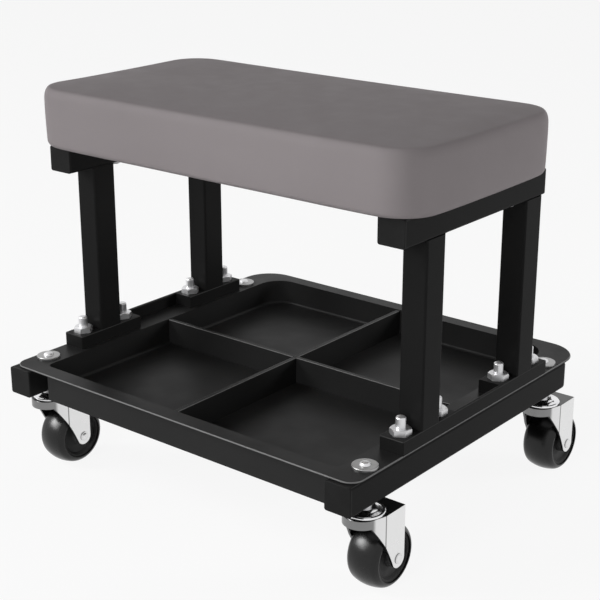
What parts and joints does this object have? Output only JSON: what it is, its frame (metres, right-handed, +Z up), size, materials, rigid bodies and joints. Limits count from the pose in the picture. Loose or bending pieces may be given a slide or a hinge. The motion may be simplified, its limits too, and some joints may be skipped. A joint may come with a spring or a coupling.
{
  "type": "rolling storage stool",
  "caption": "Low rolling work stool with a padded rectangular seat on two tube end frames, over a divided steel tool tray carried on swivel casters.",
  "frame": {"origin": "on the floor, under the middle of the whole stool's box", "axes": "+Z up; X along the seat's length; -Y towards the front, where the base tubes stand out past the tray"},
  "size_m": [0.4, 0.343, 0.3425],
  "materials": {
    "seat_vinyl": "smooth grey vinyl, satin",
    "seat_foam": "open-cell upholstery foam",
    "plywood": "raw plywood",
    "black_coat": "black powder coat, satin gloss",
    "zinc_steel": "bright zinc plate",
    "ball_steel": "polished bearing balls",
    "black_plastic": "moulded end plugs, satin",
    "wheel_plastic": "moulded wheel centre, satin",
    "wheel_rubber": "smooth black tread"
  },
  "bodies": {
    "stool": {"seat_cover": "seat_vinyl", "seat_foam": "seat_foam", "seat_board": "plywood", "seat_tee_nuts": "zinc_steel", "seat_screws": "zinc_steel", "foot_bolts": "zinc_steel", "foot_nuts": "zinc_steel", "stem_washers": "zinc_steel", "top_rail_left": "black_coat", "top_rail_right": "black_coat", "base_tube_left": "black_coat", "base_tube_right": "black_coat", "tray_pan": "black_coat", "tray_apron_front": "black_coat", "tray_apron_rear": "black_coat", "divider_long": "black_coat", "divider_short": "black_coat", "foot_strip_left": "black_coat", "foot_strip_right": "black_coat", "leg_front_left": "black_coat", "foot_front_left": "black_coat", "caster_front_left_stem": "zinc_steel", "caster_front_left_race": "zinc_steel", "leg_front_right": "black_coat", "foot_front_right": "black_coat", "caster_front_right_stem": "zinc_steel", "caster_front_right_race": "zinc_steel", "leg_rear_left": "black_coat", "foot_rear_left": "black_coat", "caster_rear_left_stem": "zinc_steel", "caster_rear_left_race": "zinc_steel", "leg_rear_right": "black_coat", "foot_rear_right": "black_coat", "caster_rear_right_stem": "zinc_steel", "caster_rear_right_race": "zinc_steel", "rail_end_caps": "black_plastic", "tube_front_plugs": "black_plastic", "tube_rear_plugs": "black_plastic"},
    "swivel_front_left": {"caster_front_left_fork": "zinc_steel", "caster_front_left_axle": "zinc_steel", "caster_front_left_balls": "ball_steel"},
    "wheel_front_left": {"caster_front_left_hub": "wheel_plastic", "caster_front_left_tread": "wheel_rubber"},
    "swivel_front_right": {"caster_front_right_fork": "zinc_steel", "caster_front_right_axle": "zinc_steel", "caster_front_right_balls": "ball_steel"},
    "wheel_front_right": {"caster_front_right_hub": "wheel_plastic", "caster_front_right_tread": "wheel_rubber"},
    "swivel_rear_left": {"caster_rear_left_fork": "zinc_steel", "caster_rear_left_axle": "zinc_steel", "caster_rear_left_balls": "ball_steel"},
    "wheel_rear_left": {"caster_rear_left_hub": "wheel_plastic", "caster_rear_left_tread": "wheel_rubber"},
    "swivel_rear_right": {"caster_rear_right_fork": "zinc_steel", "caster_rear_right_axle": "zinc_steel", "caster_rear_right_balls": "ball_steel"},
    "wheel_rear_right": {"caster_rear_right_hub": "wheel_plastic", "caster_rear_right_tread": "wheel_rubber"}
  },
  "joints": [
    {"name": "swivel_front_left_turn", "type": "hinge", "parent": "stool", "child": "swivel_front_left", "pos_m": [-0.173, -0.138, 0.0695], "axis": [0, 0, 1], "continuous": true},
    {"name": "wheel_front_left_spin", "type": "hinge", "parent": "swivel_front_left", "child": "wheel_front_left", "pos_m": [-0.173, -0.1175, 0.027], "axis": [1, 0, 0], "continuous": true},
    {"name": "swivel_front_right_turn", "type": "hinge", "parent": "stool", "child": "swivel_front_right", "pos_m": [0.173, -0.138, 0.0695], "axis": [0, 0, 1], "continuous": true},
    {"name": "wheel_front_right_spin", "type": "hinge", "parent": "swivel_front_right", "child": "wheel_front_right", "pos_m": [0.173, -0.1175, 0.027], "axis": [1, 0, 0], "continuous": true},
    {"name": "swivel_rear_left_turn", "type": "hinge", "parent": "stool", "child": "swivel_rear_left", "pos_m": [-0.173, 0.1225, 0.0695], "axis": [0, 0, 1], "continuous": true},
    {"name": "wheel_rear_left_spin", "type": "hinge", "parent": "swivel_rear_left", "child": "wheel_rear_left", "pos_m": [-0.173, 0.143, 0.027], "axis": [1, 0, 0], "continuous": true},
    {"name": "swivel_rear_right_turn", "type": "hinge", "parent": "stool", "child": "swivel_rear_right", "pos_m": [0.173, 0.1225, 0.0695], "axis": [0, 0, 1], "continuous": true},
    {"name": "wheel_rear_right_spin", "type": "hinge", "parent": "swivel_rear_right", "child": "wheel_rear_right", "pos_m": [0.173, 0.143, 0.027], "axis": [1, 0, 0], "continuous": true}
  ]
}
